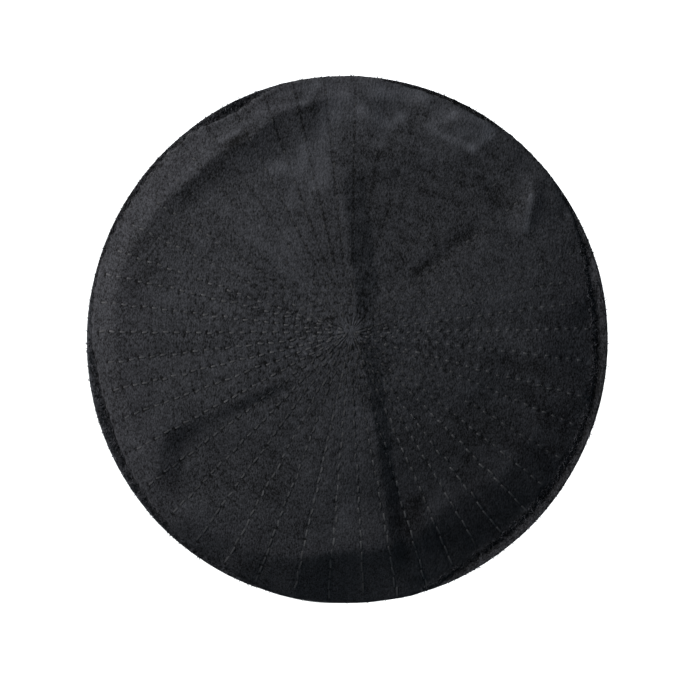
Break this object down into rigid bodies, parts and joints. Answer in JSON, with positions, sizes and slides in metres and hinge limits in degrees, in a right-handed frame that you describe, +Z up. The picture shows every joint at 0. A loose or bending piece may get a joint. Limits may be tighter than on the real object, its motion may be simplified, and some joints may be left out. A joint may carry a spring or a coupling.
{
  "type": "kufi",
  "caption": "Fez-style velvet kufi: a soft round crown quilted with stitch lines that run out from a hub, sewn to a tapered side band that is open at the bottom.",
  "frame": {"origin": "middle of the rim, on the plane that the rim stands on", "axes": "+Z up from the rim to the crown, +X to the right and +Y to the top of the picture, which looks straight down"},
  "size_m": [0.189, 0.189, 0.0953],
  "materials": {
    "velvet": "short black velvet pile with a cool sheen",
    "thread": "black sewing thread, a little lighter than the pile",
    "backing": "plain black woven backing on the inside"
  },
  "bodies": {
    "root": {"crown": "velvet", "side_band": "velvet"}
  },
  "joints": []
}
